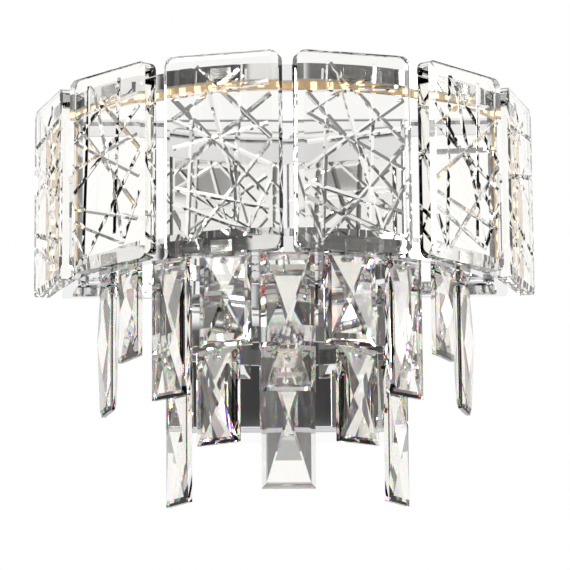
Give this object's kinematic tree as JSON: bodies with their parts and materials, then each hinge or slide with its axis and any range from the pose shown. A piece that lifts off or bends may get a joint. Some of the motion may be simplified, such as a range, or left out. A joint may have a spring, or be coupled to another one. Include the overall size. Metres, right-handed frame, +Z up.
{
  "type": "crystal wall sconce",
  "caption": "Half-round wall sconce: embossed glass panels on chrome rings with LED tape, a mirror box backplate and faceted crystal pendants swinging on jump rings from two curved rails.",
  "frame": {"origin": "on the wall plane, at the middle of the backplate box, on the bracket's back face", "axes": "+Z up, the front faces -Y, the wall is at y = 0, +X to the right seen from the front"},
  "size_m": [0.2978, 0.1526, 0.2438],
  "materials": {
    "chrome": "polished",
    "mirror_steel": "mirror polished",
    "zinc_steel": "zinc plated",
    "panel_glass": "polished, cut grooves",
    "pendant_glass": "polished facets",
    "clear_bond": "clear",
    "aluminium": "satin",
    "tape_white": "matt white",
    "led": "gloss",
    "driver_case": "matt",
    "terminal_plastic": "matt",
    "brass": "plain"
  },
  "bodies": {
    "frame": {"backplate_box": "mirror_steel", "bond_pads": "clear_bond", "bottom_ring": "chrome", "box_screws": "chrome", "crossbar_screws": "chrome", "earth_screw": "brass", "foot_screws": "chrome", "glass_panel_1": "panel_glass", "glass_panel_2": "panel_glass", "glass_panel_3": "panel_glass", "glass_panel_4": "panel_glass", "glass_panel_5": "panel_glass", "glass_panel_6": "panel_glass", "inner_rail": "chrome", "led_carrier": "aluminium", "led_chips": "led", "led_driver": "driver_case", "led_tape": "tape_white", "left_post": "chrome", "outer_rail": "chrome", "post_chips": "led", "post_nuts": "chrome", "post_tapes": "tape_white", "right_post": "chrome", "side_strap_left": "chrome", "side_strap_right": "chrome", "strap_left": "chrome", "strap_right": "chrome", "terminal_block": "terminal_plastic", "top_ring": "chrome", "wall_bracket": "zinc_steel"},
    "outer_pendant_1": {"outer_crystal_1": "pendant_glass", "outer_link_1": "chrome"},
    "outer_pendant_2": {"outer_crystal_2": "pendant_glass", "outer_link_2": "chrome"},
    "outer_pendant_3": {"outer_crystal_3": "pendant_glass", "outer_link_3": "chrome"},
    "outer_pendant_4": {"outer_crystal_4": "pendant_glass", "outer_link_4": "chrome"},
    "outer_pendant_5": {"outer_crystal_5": "pendant_glass", "outer_link_5": "chrome"},
    "outer_pendant_6": {"outer_crystal_6": "pendant_glass", "outer_link_6": "chrome"},
    "outer_pendant_7": {"outer_crystal_7": "pendant_glass", "outer_link_7": "chrome"},
    "outer_pendant_8": {"outer_crystal_8": "pendant_glass", "outer_link_8": "chrome"},
    "outer_pendant_9": {"outer_crystal_9": "pendant_glass", "outer_link_9": "chrome"},
    "inner_pendant_1": {"inner_crystal_1": "pendant_glass", "inner_link_1": "chrome"},
    "inner_pendant_2": {"inner_crystal_2": "pendant_glass", "inner_link_2": "chrome"},
    "inner_pendant_3": {"inner_crystal_3": "pendant_glass", "inner_link_3": "chrome"},
    "inner_pendant_4": {"inner_crystal_4": "pendant_glass", "inner_link_4": "chrome"},
    "inner_pendant_5": {"inner_crystal_5": "pendant_glass", "inner_link_5": "chrome"}
  },
  "joints": [
    {"name": "outer_swing_1", "type": "hinge", "parent": "frame", "child": "outer_pendant_1", "pos_m": [-0.104, -0.02516, 0.0079], "axis": [0.2351, -0.972, 0], "range_deg": [-4, 4]},
    {"name": "outer_swing_2", "type": "hinge", "parent": "frame", "child": "outer_pendant_2", "pos_m": [-0.09004, -0.05781, 0.0079], "axis": [0.5402, -0.8415, 0], "range_deg": [-4, 4]},
    {"name": "outer_swing_3", "type": "hinge", "parent": "frame", "child": "outer_pendant_3", "pos_m": [-0.06617, -0.08409, 0.0079], "axis": [0.7859, -0.6184, 0], "range_deg": [-4, 3]},
    {"name": "outer_swing_4", "type": "hinge", "parent": "frame", "child": "outer_pendant_4", "pos_m": [-0.03501, -0.10111, 0.0079], "axis": [0.9449, -0.3272, 0], "range_deg": [-4, 4]},
    {"name": "outer_swing_5", "type": "hinge", "parent": "frame", "child": "outer_pendant_5", "pos_m": [0, -0.107, 0.0079], "axis": [1, 0, 0], "range_deg": [-4, 4]},
    {"name": "outer_swing_6", "type": "hinge", "parent": "frame", "child": "outer_pendant_6", "pos_m": [0.03501, -0.10111, 0.0079], "axis": [0.9449, 0.3272, 0], "range_deg": [-4, 4]},
    {"name": "outer_swing_7", "type": "hinge", "parent": "frame", "child": "outer_pendant_7", "pos_m": [0.06617, -0.08409, 0.0079], "axis": [0.7859, 0.6184, 0], "range_deg": [-4, 3]},
    {"name": "outer_swing_8", "type": "hinge", "parent": "frame", "child": "outer_pendant_8", "pos_m": [0.09004, -0.05781, 0.0079], "axis": [0.5402, 0.8415, 0], "range_deg": [-4, 4]},
    {"name": "outer_swing_9", "type": "hinge", "parent": "frame", "child": "outer_pendant_9", "pos_m": [0.104, -0.02516, 0.0079], "axis": [0.2351, 0.972, 0], "range_deg": [-4, 4]},
    {"name": "inner_swing_1", "type": "hinge", "parent": "frame", "child": "inner_pendant_1", "pos_m": [-0.062, -0.06482, -0.0445], "axis": [0.5673, -0.8235, 0], "range_deg": [-2, 1.5]},
    {"name": "inner_swing_2", "type": "hinge", "parent": "frame", "child": "inner_pendant_2", "pos_m": [-0.0394, -0.0797, -0.0445], "axis": [0.9151, -0.4033, 0], "range_deg": [-1.5, 4]},
    {"name": "inner_swing_3", "type": "hinge", "parent": "frame", "child": "inner_pendant_3", "pos_m": [0, -0.088, -0.0445], "axis": [1, 0, 0], "range_deg": [-4, 4]},
    {"name": "inner_swing_4", "type": "hinge", "parent": "frame", "child": "inner_pendant_4", "pos_m": [0.0394, -0.0797, -0.0445], "axis": [0.9151, 0.4033, 0], "range_deg": [-1.5, 4]},
    {"name": "inner_swing_5", "type": "hinge", "parent": "frame", "child": "inner_pendant_5", "pos_m": [0.062, -0.06482, -0.0445], "axis": [0.5673, 0.8235, 0], "range_deg": [-2, 1.5]}
  ]
}
